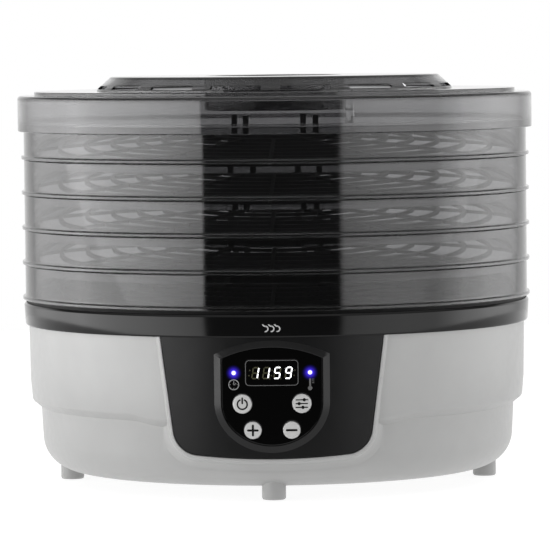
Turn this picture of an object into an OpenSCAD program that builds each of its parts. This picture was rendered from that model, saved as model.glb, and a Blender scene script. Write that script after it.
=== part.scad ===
// Round food dehydrator with five nesting trays, a vented lid and a heated fan base
// that carries a push-button control panel. It also dries spools of filament.
// Millimetres, +Z up. The origin is the centre of the footprint, on the table,
// and the control panel faces -Y.

/* [Base] */
// Outer radius of the base housing at its top edge
base_r = 159.2; // [158.8:0.1:159.6]
// Height of the base housing's top edge above the table
base_top = 101.5; // [100.5:0.1:102.5]
// Wall thickness of the base housing
base_wall = 2.5; // [2:0.1:3]
// Height of the housing's underside above the table
ground_gap = 8; // [7:0.1:8.5]
// Radius of the circle that the four feet stand on
foot_circle = 133; // [130:0.5:136]
// Radius of a foot
foot_r = 7.4; // [6:0.1:8]

/* [Trays] */
// Number of trays in the stack
tray_count = 5; // [1:1:5]
// Height that each tray adds to the stack
tray_pitch = 22.4; // [21:0.1:26]
// Outer radius of a tray wall
tray_r = 161.3; // [161:0.1:161.8]
// Thickness of a tray wall
tray_wall = 1.8; // [1.6:0.1:2]
// How far a tray's skirt reaches down into the rim below
nest_depth = 6.4; // [5:0.1:7]
// Number of spokes in a tray's grid
spoke_count = 12; // [8:4:24]

/* [Lid] */
// Outer radius of the lid's skirt
lid_r = 165; // [164.6:0.1:167]
// Height of the lid's skirt
lid_skirt = 22.7; // [18:0.1:24]
// Height of the vented crown over the lid's disc
crown_h = 9; // [8:0.1:12]
// Radius of the crown at its top
crown_r = 105; // [95:1:106]
// Air slots that would fit all round the crown; only the front half is cut
crown_slots = 16; // [8:1:18]

/* [Controls] */
// Diameter of the upper two buttons
button_d = 11.7; // [10:0.1:12]
// Diameter of the lower two buttons
small_button_d = 10.6; // [9:0.1:11]
// How far a button stands out of the overlay
button_proud = 1; // [0.9:0.1:1.4]

/* [Air] */
// Radius of the fan
fan_r = 54; // [45:0.5:55]
// Number of fan blades
blade_count = 7; // [3:1:9]

/* [Hidden] */

far = 400;
eps = 0.01;
round_sides = 192;

// Housing: a bowl, a step, and a wider upper wall.
bowl_r = 152;
bowl_top = 48.5;
step_top = 54;
bowl_round = 22;
step_flare = 0.8;
floor_top = ground_gap + base_wall;

// Trim band and chamber deck.
band_r = 162.2;
band_foot_r = 161.5;
band_top = 115.6;
deck_r = 160.7;
deck_t = 2.5;
rim_r = 160.2;
rim_in = 158.9;
outlet_r = 50;
collar_r = 64;
collar_h = 2.5;

// Tray stack. A tray's lip rests over the rim below it.
stack_z = 117.6;
rim_gap = 0.3;
lip_r = 163;
lip_h = 2.3;
skirt_out = 158;
skirt_in = 156.4;
floor_slope = 0.045;
floor_t = 2;
floor_low = -0.2;
grid_rings = [38, 55, 72, 88.5, 105, 122, 139, 155];
ring_w = 2.4;
spoke_w = 2.4;
hub_in = 30;
hub_out = 34;
hub_h = 2;
post_r = 1.9;
post_count = 4;
post_top = 25.2;
post_turn = 28;

// Lid.
lid_seat = stack_z + tray_count * tray_pitch;
lid_bottom = lid_seat - 4.7;
lid_top = lid_bottom + lid_skirt;
lid_t = 2;
lid_in = lid_r - 1.6;
disc_r = 154.3;
disc_h = 2.5;
crown_foot_r = 114;
crown_hole_r = 108;
crown_t = 2;
well_r = 43;
well_depth = 20.8;
vent_count = 12;
slot_w = 32;
slot_h = 2.1;
key_angle = 17.4;
key_w = 5;
key_t = 1.7;
key_gap = 0.4;
key_root = 0.3;
key_drop = 3.6;
key_count = 8;
ledge_t = 1.2;
ledge_in = 158.6;

// Control panel outline, measured from the panel's centre line.
fascia_r = 160.4;
fascia_t = 2.2;
fascia_half = 68.2;
fascia_slope = 7.3;
fascia_bow = 5;
fascia_low = 27.5;
fascia_corner = 16;
frame_w = 2.8;
frame_r = 160.9;
panel_a = 30.9;
panel_b = 26.5;
panel_z = 62;
panel_arc = 72.6;
panel_arc_z = 22.9;
bezel_w = 4.4;
bezel_r = 161.9;
bezel_low = 1.4;
overlay_r = 160.9;
overlay_t = 2.3;
seat_w = 1.5;
window_w = 32.5;
window_h = 15.8;
window_round = 2.5;
window_z = 80;
led_x = 23.2;
led_z = 80;
led_r = 1.5;
button_gap = 0.3;
button_flange = 0.8;
button_travel = 0.8;
upper_button = [18.1, 61.2];
lower_button = [11.8, 45.1];

// Boards behind the panel and on the housing's floor.
board_y = -150;
board_t = 1.6;
board_w = 76;
board_low = 33;
board_high = 93;
board_screw_x = 34.5;
board_screw_z = [38, 88];
switch_h = 3.4;
switch_tip = 4.2;
power_z = floor_top + 4;
power_w = 72;
power_low_y = -116;
power_high_y = -68;
power_screw_x = 32;
power_screw_y = [-112, -72];
screw_turn = 45;
post_circle = 128;
post_split = 31;

// Fan, motor and heater, on the vertical axis.
duct_r = 60;
duct_t = 2;
duct_low = 32;
lug_circle = 66;
shaft_r = 1.6;
motor_r = 19;
motor_high = 60;
bearing_r = 4;
bearing_h = 5;
fan_low = 64;
fan_high = 78;
mount_circle = 57;
heater_low = 83;
heater_high = 93;
wire_r = 1.4;
gland_z = 30;
gland_bore = 3.6;

// ---------------------------------------------------------------- helpers

module at_angle(a, r) rotate([0, 0, a]) translate([0, -r, 0]) children();

// A flat outline in X and Z, carried from the centre out through the front.
module forward() rotate([90, 0, 0]) linear_extrude(far) children();

// Something that points forwards, along -Y, from a given place.
module pointing(x, y, z) translate([x, y, z]) rotate([90, 0, 0]) children();

module tube(r_out, r_in, low, high, sides = round_sides) difference() {
    translate([0, 0, low]) cylinder(r = r_out, h = high - low, $fn = sides);
    translate([0, 0, low - 1]) cylinder(r = r_in, h = high - low + 2, $fn = sides);
}

// A straight round wire between two points.
module wire(from, to, r) {
    way = to - from;
    translate(from)
        rotate([0, acos(way.z / norm(way)), atan2(way.y, way.x)])
            cylinder(r = r, h = norm(way), $fn = 16);
}

module wire_run(points, r) {
    for (i = [0:len(points) - 2]) wire(points[i], points[i + 1], r);
    for (i = [1:len(points) - 2]) translate(points[i]) sphere(r = r, $fn = 16);
}

module rounded_rectangle(w, h, r) {
    square([w - 2 * r, h], center = true);
    square([w, h - 2 * r], center = true);
    for (x = [-1, 1], y = [-1, 1])
        translate([x * (w / 2 - r), y * (h / 2 - r)]) circle(r = r, $fn = 32);
}

function arc(cx, cz, rx, rz, from, to, n) = [
    for (i = [0:n]) let (a = from + (to - from) * i / n) [cx + rx * cos(a), cz + rz * sin(a)]
];

function mirrored(points) = [for (i = [len(points) - 1:-1:0]) [-points[i].x, points[i].y]];

// Fascia outline grown by m: slanted sides, round lower corners, slightly bowed bottom.
function fascia_outline(m, top) =
    let (
        s = fascia_slope,
        r = fascia_corner,
        edge = fascia_half * cos(s) - base_top * sin(s),
        cx = (edge - r + (fascia_low + r) * sin(s)) / (cos(s) - sin(s) * tan(fascia_bow / 2)),
        cz = fascia_low + r + cx * tan(fascia_bow / 2),
        bow_r = r + cx / sin(fascia_bow),
        side = [cx + (r + m) * cos(s), cz - (r + m) * sin(s)],
        right = concat(
            arc(0, fascia_low + bow_r, bow_r + m, bow_r + m, -90, -90 + fascia_bow, 3),
            arc(cx, cz, r + m, r + m, -90 + fascia_bow, -s, 9),
            [[side.x + (top - side.y) * tan(s), top]])
    ) concat(right, mirrored(right));

// Overlay outline grown by m: shallow arc on top, upright sides, half ellipse below.
function panel_outline(m) =
    let (
        a = panel_a + m,
        r = panel_arc + m,
        half = asin(a / r)
    ) concat(
        arc(0, panel_z, a, panel_b + m, -180, 0, 28),
        arc(0, panel_arc_z, r, r, 90 - half, 90 + half, 12));

// The band of space between two radii, seen through an outline on the front.
module curved_plate(r_out, r_in) intersection() {
    forward() children();
    tube(r_out, r_in, 0, base_top);
}

// ---------------------------------------------------------------- base

module bowl_profile(inset) polygon(concat(
    [[0, ground_gap + inset]],
    arc(bowl_r - 1 - bowl_round, ground_gap + bowl_round,
        bowl_round - inset, bowl_round - inset, -90, -4, 8),
    [
        [bowl_r - inset, bowl_top + inset / 2],
        [base_r - 2 - inset, step_top - 1.2 + inset / 2],
        [base_r - step_flare - inset, step_top + 1.2 + inset / 2],
        [base_r - inset, base_top],
        [0, base_top]
    ]));

module housing_shell() difference() {
    rotate_extrude($fn = round_sides) bowl_profile(0);
    translate([0, 0, eps]) rotate_extrude($fn = round_sides) bowl_profile(base_wall);
}

// Raised frame that the control fascia drops into.
module fascia_frame() intersection() {
    forward() polygon(fascia_outline(frame_w, base_top));
    union() {
        tube(frame_r, bowl_r - base_wall - 1, 20, step_top + 4);
        tube(frame_r, base_r - base_wall - 1, step_top, base_top);
    }
}

module base_housing() color([0.76, 0.76, 0.75]) difference() {
    union() {
        housing_shell();
        fascia_frame();
        for (a = [0:3]) at_angle(a * 90 + screw_turn, post_circle)
            tube(6, 1, ground_gap + 1, post_split, 48);
        for (a = [0:3]) at_angle(a * 90 + screw_turn, mount_circle)
            tube(4, 1, ground_gap + 1, duct_low - 2, 48);
        for (x = [-1, 1], y = power_screw_y) translate([x * power_screw_x, y, 0])
            tube(3.2, 1, ground_gap + 1, power_z, 48);
    }
    forward() polygon(fascia_outline(0.1, base_top + 1));
    // Air inlet slots under the fan.
    for (a = [0:29]) rotate([0, 0, a * 12]) translate([20, -1.6, 0]) cube([30, 3.2, 14]);
    // Sockets for the feet.
    for (a = [0:3]) at_angle(a * 90, foot_circle) cylinder(r = 4.1, h = 16, $fn = 48);
    // Screw wells, and clear holes for the screws.
    for (a = [0:3]) at_angle(a * 90 + screw_turn, post_circle) {
        cylinder(r = 4.2, h = ground_gap + 6, $fn = 48);
        cylinder(r = 2.2, h = post_split + 1, $fn = 48);
    }
    for (a = [0:3]) at_angle(a * 90 + screw_turn, mount_circle)
        translate([0, 0, floor_top + 3]) cylinder(r = 1.4, h = 30, $fn = 32);
    for (x = [-1, 1], y = power_screw_y) translate([x * power_screw_x, y, floor_top])
        cylinder(r = 1.1, h = 10, $fn = 32);
    // Hole for the mains lead's gland.
    translate([0, 0, gland_z]) rotate([-90, 0, 0]) cylinder(r = 7.1, h = far, $fn = 64);
}

module trim_band() color([0.06, 0.06, 0.065]) rotate_extrude($fn = round_sides) polygon([
    [deck_r, base_top], [band_foot_r - 0.4, base_top], [band_foot_r, base_top + 0.5],
    [band_r, band_top - 2], [band_r - 0.2, band_top - 0.6], [band_r - 0.8, band_top],
    [deck_r, band_top]
]);

module chamber_deck() color([0.08, 0.08, 0.085]) difference() {
    union() {
        rotate_extrude($fn = round_sides) polygon([
            [outlet_r, base_top], [deck_r, base_top], [deck_r, band_top],
            [rim_r, band_top], [rim_r, stack_z - rim_gap], [rim_in, stack_z - rim_gap],
            [rim_in, base_top + deck_t + 2], [rim_in - 2, base_top + deck_t],
            [collar_r + 3, base_top + deck_t], [collar_r, base_top + deck_t + collar_h],
            [outlet_r, base_top + deck_t + collar_h]
        ]);
        for (a = [0:3]) at_angle(a * 90 + screw_turn, post_circle)
            tube(5, 1, post_split, base_top + 1, 48);
        for (a = [0:3]) at_angle(a * 90, lug_circle)
            tube(3.6, 1, base_top - 8, base_top + 1, 48);
    }
    for (a = [0:3]) at_angle(a * 90 + screw_turn, post_circle)
        translate([0, 0, post_split - 1]) cylinder(r = 1.6, h = 20, $fn = 32);
    for (a = [0:3]) at_angle(a * 90, lug_circle)
        translate([0, 0, base_top - 9]) cylinder(r = 1.2, h = 9, $fn = 32);
    // Hole for the temperature sensor.
    at_angle(150, 84) cylinder(r = 2.5, h = far, $fn = 32);
}

// Grille over the air outlet: radial slots round a closed middle.
module outlet_guard() color([0.07, 0.07, 0.075]) {
    low = base_top + deck_t + collar_h;
    difference() {
        rotate_extrude($fn = round_sides) polygon([
            [0, low + 4], [20, low + 4], [52, low], [58, low], [58, low + 2],
            [52.4, low + 2], [20.4, low + 6], [0, low + 6]
        ]);
        for (a = [0:35]) rotate([0, 0, a * 10]) translate([23, -1.3, low - 1]) cube([25, 2.6, 9]);
    }
}

// Round leg with a plug that presses into the housing.
module foot(a) color([0.7, 0.7, 0.69]) difference() {
    at_angle(a, foot_circle) union() {
        cylinder(r1 = foot_r - 0.8, r2 = foot_r, h = 0.8, $fn = 64);
        translate([0, 0, 0.8]) cylinder(r = foot_r, h = 14, $fn = 64);
    }
    difference() {
        rotate_extrude($fn = round_sides) bowl_profile(-eps);
        at_angle(a, foot_circle) cylinder(r = 4, h = floor_top + 3, $fn = 48);
    }
    at_angle(a, foot_circle) translate([0, 0, floor_top + 3]) cylinder(r = foot_r + 1, h = 9, $fn = 64);
}

module foot_front() foot(0);
module foot_right() foot(90);
module foot_back() foot(180);
module foot_left() foot(270);

module housing_screws() color("silver") for (a = [0:3])
    at_angle(a * 90 + screw_turn, post_circle) union() {
        translate([0, 0, ground_gap + 3.5]) cylinder(r = 3.6, h = 2.5, $fn = 48);
        translate([0, 0, ground_gap + 3.5]) cylinder(r = 1.6, h = 38, $fn = 32);
    }

// Bushing at the back that the mains lead goes through.
module cord_gland() color([0.1, 0.1, 0.1]) translate([0, bowl_r - 0.6, gland_z])
    rotate([-90, 0, 0]) difference() {
        union() {
            cylinder(r = 9, h = 3, $fn = 64);
            translate([0, 0, -8]) cylinder(r = 7, h = 9, $fn = 64);
        }
        translate([0, 0, -9]) cylinder(r = gland_bore, h = 14, $fn = 64);
    }

// The two insulated leads from the gland to the power board's terminal block.
module mains_leads() color([0.5, 0.3, 0.15]) for (x = [-1, 1]) wire_run([
    [x * 1.6, bowl_r - 9.6, gland_z], [x * 2, 120, 26], [x * 4 + 84, 40, 17],
    [x * 4 + 84, -50, 17], [x * 3 + 20, -72, power_z + 7]
], 1.3);

// ---------------------------------------------------------------- control panel

module control_fascia() color([0.15, 0.15, 0.155]) difference() {
    union() {
        curved_plate(fascia_r, fascia_r - fascia_t) polygon(fascia_outline(0, base_top));
        // Standoffs that carry the control board.
        for (x = [-1, 1], z = board_screw_z) pointing(x * board_screw_x, board_y, z)
            cylinder(r = 3.2, h = 6, $fn = 48);
    }
    forward() polygon(panel_outline(-seat_w));
    for (x = [-1, 1], z = board_screw_z) pointing(x * board_screw_x, board_y + 1, z)
        cylinder(r = 1.1, h = 6, $fn = 32);
}

module bezel_ring() color([0.3, 0.3, 0.31]) difference() {
    curved_plate(bezel_r, fascia_r) intersection() {
        polygon(panel_outline(bezel_w));
        translate([-far / 2, panel_z - panel_b - bezel_w + bezel_low]) square([far, far]);
    }
    forward() polygon(panel_outline(0));
}

module at_buttons(grow) {
    for (x = [-1, 1]) pointing(x * upper_button.x, 0, upper_button.y)
        cylinder(r = button_d / 2 + grow, h = far, $fn = 64);
    for (x = [-1, 1]) pointing(x * lower_button.x, 0, lower_button.y)
        cylinder(r = small_button_d / 2 + grow, h = far, $fn = 64);
}

module control_overlay() color([0.02, 0.02, 0.022]) difference() {
    union() {
        curved_plate(overlay_r, fascia_r) polygon(panel_outline(-0.1));
        curved_plate(fascia_r + eps, overlay_r - overlay_t) polygon(panel_outline(-seat_w - 0.1));
    }
    at_buttons(button_gap);
    for (x = [-1, 1]) pointing(x * led_x, 0, led_z) cylinder(r = led_r + 0.2, h = far, $fn = 32);
    forward() translate([0, window_z])
        rounded_rectangle(window_w + 0.2, window_h + 0.2, window_round + 0.1);
}

module display_window() color([0.1, 0.1, 0.12, 0.6])
    curved_plate(overlay_r, overlay_r - overlay_t) translate([0, window_z])
        rounded_rectangle(window_w, window_h, window_round);

// Key cap with a flange behind the overlay and a stem that meets its switch. Its
// face follows the curve of the panel.
module button(place, d, side) color([0.82, 0.82, 0.8]) {
    back = overlay_r - overlay_t;
    flange_y = -sqrt(pow(back, 2) - pow(place.x + d / 2 + 1, 2));
    stem_y = board_y - switch_tip - button_travel - 0.05;
    intersection() {
        pointing(side * place.x, flange_y + button_flange, place.y) cylinder(r = d / 2, h = 20, $fn = 64);
        tube(overlay_r + button_proud, 100, 0, base_top);
    }
    pointing(side * place.x, flange_y + button_flange + 0.2, place.y)
        cylinder(r = d / 2 + 0.9, h = button_flange, $fn = 64);
    pointing(side * place.x, stem_y, place.y) cylinder(r = 1.6, h = -flange_y + stem_y, $fn = 32);
}

module button_power() button(upper_button, button_d, -1);
module button_menu() button(upper_button, button_d, 1);
module button_plus() button(lower_button, small_button_d, -1);
module button_minus() button(lower_button, small_button_d, 1);

module display_module() color([0.12, 0.12, 0.12])
    translate([-15.1, board_y - 7, window_z - 7]) cube([30.2, 7, 14]);

module status_leds() color([0.5, 0.45, 1]) for (x = [-1, 1]) pointing(x * led_x, board_y, led_z) union() {
    cylinder(r = led_r, h = 7.8, $fn = 32);
    cylinder(r = led_r + 0.5, h = 1, $fn = 32);
    translate([0, 0, 7.8]) sphere(r = led_r, $fn = 32);
}

module tact_switches() color([0.2, 0.2, 0.2])
    for (x = [-1, 1], place = [upper_button, lower_button]) pointing(x * place.x, board_y, place.y) union() {
        translate([-3, -3, 0]) cube([6, 6, switch_h]);
        cylinder(r = 1.7, h = switch_tip, $fn = 32);
    }

module control_board() color([0.05, 0.32, 0.16]) difference() {
    translate([-board_w / 2, board_y, board_low]) cube([board_w, board_t, board_high - board_low]);
    for (x = [-1, 1], z = board_screw_z) pointing(x * board_screw_x, board_y + 3, z)
        cylinder(r = 1.3, h = 6, $fn = 32);
}

module control_board_screws() color("silver")
    for (x = [-1, 1], z = board_screw_z) pointing(x * board_screw_x, board_y + board_t, z) union() {
        cylinder(r = 1.1, h = 6, $fn = 32);
        translate([0, 0, -1.8]) cylinder(r = 2.4, h = 1.8, $fn = 32);
    }

// Flat cable from the control board down to the power board.
module ribbon_cable() color([0.75, 0.75, 0.75]) translate([-8, 0, 0]) rotate([90, 0, 90])
    linear_extrude(16) polygon([
        [-148.4, 38], [-138, 33], [-122, 27], [-114, 20], [-108, 20], [-108, 16.1],
        [-107, 16.1], [-107, 21], [-113.6, 21], [-121.4, 28], [-137.6, 34], [-148.4, 39]
    ]);

// ---------------------------------------------------------------- power electronics

module power_board() color([0.1, 0.34, 0.16]) difference() {
    translate([-power_w / 2, power_low_y, power_z]) cube([power_w, power_high_y - power_low_y, board_t]);
    for (x = [-1, 1], y = power_screw_y) translate([x * power_screw_x, y, power_z - 1])
        cylinder(r = 1.3, h = 4, $fn = 32);
}

module transformer() color([0.85, 0.75, 0.3]) translate([-26, -104, power_z + board_t]) union() {
    translate([0, 5, 0]) cube([22, 18, 20]);
    translate([4, 1, 2]) cube([14, 26, 14]);
}

module relay() color([0.1, 0.2, 0.5]) translate([4, -93, power_z + board_t]) cube([19, 15, 15]);

module filter_capacitor() color([0.15, 0.15, 0.3])
    translate([22, -103, power_z + board_t]) cylinder(r = 5, h = 16, $fn = 48);

module terminal_block() color([0.2, 0.5, 0.3])
    translate([11, -75.4, power_z + board_t]) cube([16, 7.4, 3.4]);

module power_board_screws() color("silver") for (x = [-1, 1], y = power_screw_y)
    translate([x * power_screw_x, y, power_z + board_t]) union() {
        cylinder(r = 2.4, h = 1.8, $fn = 32);
        translate([0, 0, -5]) cylinder(r = 1.1, h = 5 + eps, $fn = 32);
    }

// ---------------------------------------------------------------- fan and heater

module fan_duct() color([0.17, 0.17, 0.18]) difference() {
    union() {
        tube(duct_r, duct_r - duct_t, duct_low, base_top);
        for (a = [0:3]) at_angle(a * 90, lug_circle)
            translate([-4, -4, base_top - 11]) cube([8, 10, 3]);
    }
    for (a = [0:3]) at_angle(a * 90, lug_circle)
        translate([0, 0, base_top - 12]) cylinder(r = 1.5, h = 5, $fn = 32);
    // The lugs end at the duct's inner wall.
    translate([0, 0, duct_low - 1]) cylinder(r = duct_r - duct_t, h = far, $fn = round_sides);
}

module duct_screws() color("silver") for (a = [0:3]) at_angle(a * 90, lug_circle)
    translate([0, 0, base_top - 13]) union() {
        cylinder(r = 2.6, h = 2, $fn = 32);
        cylinder(r = 1.2, h = 11, $fn = 32);
    }

// Spider that holds the motor in the middle of the air inlet.
module motor_mount() color([0.22, 0.22, 0.23]) translate([0, 0, duct_low - 2]) difference() {
    union() {
        for (a = [0:3]) rotate([0, 0, a * 90 + screw_turn]) translate([0, -4, 0]) cube([mount_circle, 8, 2]);
        for (a = [0:3]) at_angle(a * 90 + screw_turn, mount_circle) cylinder(r = 4, h = 2, $fn = 48);
        cylinder(r = 21, h = 2, $fn = 96);
    }
    for (x = [-13, 13]) translate([x, 0, -1]) cylinder(r = 1.6, h = 4, $fn = 32);
    for (a = [0:3]) at_angle(a * 90 + screw_turn, mount_circle)
        translate([0, 0, -1]) cylinder(r = 1.6, h = 4, $fn = 32);
}

module motor_mount_screws() color("silver") for (a = [0:3])
    at_angle(a * 90 + screw_turn, mount_circle) translate([0, 0, duct_low - 12]) union() {
        cylinder(r = 1.4, h = 12, $fn = 32);
        translate([0, 0, 12]) cylinder(r = 0.9, h = 0.4, $fn = 32);
    }

module motor() color([0.7, 0.7, 0.72]) difference() {
    union() {
        translate([0, 0, duct_low]) cylinder(r = motor_r, h = motor_high - duct_low, $fn = 96);
        translate([0, 0, motor_high - 1]) cylinder(r = 7, h = 3, $fn = 48);
    }
    translate([0, 0, motor_high - 18]) cylinder(r = bearing_r, h = 30, $fn = 48);
    for (x = [-13, 13]) translate([x, 0, duct_low - 1]) cylinder(r = 1.3, h = 7, $fn = 32);
}

// Two plain bronze bearings pressed into the motor.
module motor_bearings() color([0.75, 0.55, 0.3]) for (low = [motor_high - 18, motor_high + 2 - bearing_h])
    tube(bearing_r, shaft_r + 0.05, low, low + bearing_h, 48);

module motor_screws() color("silver") for (x = [-13, 13]) translate([x, 0, duct_low - 2]) union() {
    translate([0, 0, -1.8]) cylinder(r = 2.6, h = 1.8, $fn = 32);
    cylinder(r = 1.3, h = 7, $fn = 32);
}

module motor_shaft() color("silver")
    translate([0, 0, motor_high - 17.5]) cylinder(r = shaft_r, h = fan_high - motor_high + 17, $fn = 48);

module fan_rotor() color([0.13, 0.13, 0.14]) difference() {
    union() {
        translate([0, 0, fan_low]) cylinder(r = 11, h = fan_high - fan_low, $fn = 96);
        intersection() {
            for (a = [0:blade_count - 1]) rotate([0, 0, a * 360 / blade_count])
                translate([8, 0, (fan_low + fan_high) / 2]) rotate([28, 0, 0])
                    translate([0, -11, -0.8]) cube([fan_r, 22, 1.6]);
            translate([0, 0, fan_low]) cylinder(r = fan_r, h = fan_high - fan_low, $fn = 144);
        }
    }
    translate([0, 0, fan_low - 1]) cylinder(r = shaft_r, h = far, $fn = 48);
}

// Crossed mica plates with the heating wire lying in three rings on their upper edge.
module heater_frame() color([0.72, 0.66, 0.52]) for (a = [0, 90]) rotate([0, 0, a])
    translate([1 - duct_r + duct_t - 0.9, -0.5, heater_low])
        cube([2 * (duct_r - duct_t) - 0.2, 1, heater_high - heater_low]);

module heater_coil() color([0.6, 0.45, 0.35]) for (r = [24, 36, 48])
    translate([0, 0, heater_high + wire_r]) rotate_extrude($fn = 144)
        translate([r, 0]) circle(r = wire_r, $fn = 24);

module thermal_cutout() color([0.85, 0.85, 0.85])
    at_angle(45, duct_r) translate([0, 0, 76]) rotate([90, 0, 0]) union() {
        cylinder(r = 7, h = 3, $fn = 48);
        translate([0, 0, 3]) cylinder(r = 4.5, h = 4, $fn = 48);
    }

module air_sensor() color([0.2, 0.2, 0.2]) at_angle(150, 84) union() {
    translate([0, 0, base_top - 6]) cylinder(r = 2.2, h = 14, $fn = 32);
    translate([-3, -3, base_top - 8]) cube([6, 6, 4]);
}

// ---------------------------------------------------------------- trays

function floor_at(r) = floor_low + floor_slope * (skirt_in - r);

// Openings between two rings of the grid, parted by the spokes.
module grid_slots(r_in, r_out) difference() {
    tube(r_out, r_in, -20, 30);
    for (a = [0:spoke_count - 1]) rotate([0, 0, a * 360 / spoke_count])
        translate([0, -spoke_w / 2, -21]) cube([far, spoke_w, 60]);
}

module tray_floor() difference() {
    rotate_extrude($fn = round_sides) polygon([
        [hub_in + 1, floor_at(hub_in + 1) - floor_t], [skirt_in + 0.5, floor_low - floor_t],
        [skirt_in + 0.5, floor_low], [hub_in + 1, floor_at(hub_in + 1)]
    ]);
    for (k = [0:len(grid_rings) - 2])
        grid_slots(grid_rings[k] + ring_w / 2, grid_rings[k + 1] - ring_w / 2);
}

// One tray: a wall with a lip over the rim below, a nesting skirt, a shallow domed grid,
// and a collar whose posts brace the tray above. Odd trays are turned on the stack.
module tray(i) color([0.25, 0.25, 0.26, 0.6]) translate([0, 0, stack_z + (i - 1) * tray_pitch]) {
    rotate_extrude($fn = round_sides) polygon([
        [skirt_in, -nest_depth], [skirt_out - 0.5, -nest_depth], [skirt_out, -nest_depth + 0.8],
        [skirt_out, 0], [lip_r - 0.5, 0], [lip_r, 0.6], [lip_r, lip_h - 0.9], [lip_r - 0.9, lip_h],
        [tray_r, lip_h], [tray_r, tray_pitch - rim_gap - 0.6], [tray_r - 0.6, tray_pitch - rim_gap],
        [tray_r - tray_wall, tray_pitch - rim_gap], [tray_r - tray_wall, 3], [skirt_in + 1, 1],
        [skirt_in, 0]
    ]);
    tray_floor();
    tube(hub_out, hub_in, floor_at(hub_out) - floor_t, floor_at(hub_out) + hub_h, 96);
    for (a = [0:post_count - 1])
        at_angle(a * 360 / post_count + post_turn * (1 + i % 2), (hub_in + hub_out) / 2)
            translate([0, 0, floor_at(hub_out)]) cylinder(r = post_r, h = post_top - floor_at(hub_out), $fn = 32);
}

module tray_1() tray(1);
module tray_2() tray(2);
module tray_3() tray(3);
module tray_4() tray(4);
module tray_5() tray(5);

// ---------------------------------------------------------------- lid

module lid_shell() color([0.25, 0.25, 0.26, 0.6]) {
    rotate_extrude($fn = round_sides) polygon(concat(
        [[lid_in, lid_bottom], [lid_r - 0.5, lid_bottom], [lid_r, lid_bottom + 0.6]],
        arc(lid_r - 2.2, lid_top - 2.2, 2.2, 2.2, 0, 90, 4),
        [
            [disc_r + 0.3, lid_top], [disc_r, lid_top + 0.4], [disc_r, lid_top + disc_h - 0.5],
            [disc_r - 0.5, lid_top + disc_h], [crown_hole_r, lid_top + disc_h],
            [crown_hole_r, lid_top + disc_h - lid_t], [disc_r - lid_t, lid_top + disc_h - lid_t],
            [disc_r - lid_t, lid_top - lid_t], [lid_in - 1, lid_top - lid_t],
            [lid_in, lid_top - lid_t - 1], [lid_in, lid_seat + ledge_t], [ledge_in, lid_seat + ledge_t],
            [ledge_in, lid_seat], [lid_in, lid_seat]
        ]));
    // Rib from the ledge up to the top, then keys that centre the lid on the rim of the top tray.
    at_angle(key_angle, lid_in + key_root)
        translate([-key_w / 2, 0, lid_seat + 1]) cube([key_w, 2, lid_top - lid_t - lid_seat - 0.8]);
    for (a = [0:key_count - 1]) at_angle(key_angle + a * 360 / key_count, tray_r + key_gap + key_t)
        translate([-key_w / 2, -key_root, lid_seat - key_drop]) cube([key_w, key_t + key_root, key_drop + 0.5]);
}

// Raised crown with air slots round its foot and a deep vented well in the middle.
module lid_crown() color([0.2, 0.2, 0.21, 0.7]) {
    low = lid_top + disc_h;
    high = low + crown_h;
    floor_z = high - well_depth;
    difference() {
        rotate_extrude($fn = round_sides) polygon([
            [crown_foot_r - crown_t - 1.5, low], [crown_foot_r, low], [crown_foot_r, low + 0.8],
            [crown_r + 0.6, high - 0.5], [crown_r - 0.6, high], [well_r + 1, high],
            [well_r, high - 1], [well_r, floor_z], [0, floor_z], [0, floor_z - crown_t],
            [well_r + crown_t, floor_z - crown_t], [well_r + crown_t, high - crown_t],
            [crown_r - 1.2, high - crown_t]
        ]);
        // Slots in the front half of the foot; the back half is closed.
        for (a = [0:crown_slots - 1]) if (cos((a + 0.5) * 360 / crown_slots) > 0)
            at_angle((a + 0.5) * 360 / crown_slots, crown_foot_r)
                translate([-slot_w / 2, -2, low + 1.2]) cube([slot_w, 12, slot_h]);
        for (a = [0:vent_count - 1]) rotate([0, 0, a * 360 / vent_count])
            translate([12, -1.6, floor_z - 5]) cube([24, 3.2, 10]);
    }
}

base_housing();
trim_band();
chamber_deck();
outlet_guard();
foot_front();
foot_right();
foot_back();
foot_left();
housing_screws();
cord_gland();
mains_leads();
control_fascia();
bezel_ring();
control_overlay();
display_window();
button_power();
button_menu();
button_minus();
button_plus();
display_module();
status_leds();
tact_switches();
control_board();
control_board_screws();
ribbon_cable();
power_board();
transformer();
relay();
filter_capacitor();
terminal_block();
power_board_screws();
fan_duct();
duct_screws();
motor_mount();
motor_mount_screws();
motor();
motor_bearings();
motor_screws();
motor_shaft();
fan_rotor();
heater_frame();
heater_coil();
thermal_cutout();
air_sensor();
tray_1();
tray_2();
tray_3();
tray_4();
tray_5();
lid_shell();
lid_crown();
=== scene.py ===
import math

import bmesh
import bpy
from mathutils import Matrix, Vector


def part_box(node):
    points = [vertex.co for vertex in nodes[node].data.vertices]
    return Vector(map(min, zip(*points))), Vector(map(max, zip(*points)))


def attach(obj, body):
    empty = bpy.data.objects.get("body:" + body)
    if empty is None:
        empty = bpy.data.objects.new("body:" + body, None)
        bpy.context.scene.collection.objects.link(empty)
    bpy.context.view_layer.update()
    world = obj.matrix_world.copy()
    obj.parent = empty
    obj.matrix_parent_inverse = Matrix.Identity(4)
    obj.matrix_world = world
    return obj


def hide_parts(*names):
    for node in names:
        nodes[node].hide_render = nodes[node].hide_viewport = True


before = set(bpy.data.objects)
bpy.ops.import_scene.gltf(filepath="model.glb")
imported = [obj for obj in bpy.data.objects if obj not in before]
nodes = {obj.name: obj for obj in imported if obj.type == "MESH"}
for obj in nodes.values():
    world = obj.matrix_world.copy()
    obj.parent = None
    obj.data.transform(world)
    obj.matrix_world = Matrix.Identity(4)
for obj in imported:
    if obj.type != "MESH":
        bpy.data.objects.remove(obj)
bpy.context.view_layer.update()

scene = bpy.context.scene
MM = 0.001

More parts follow.
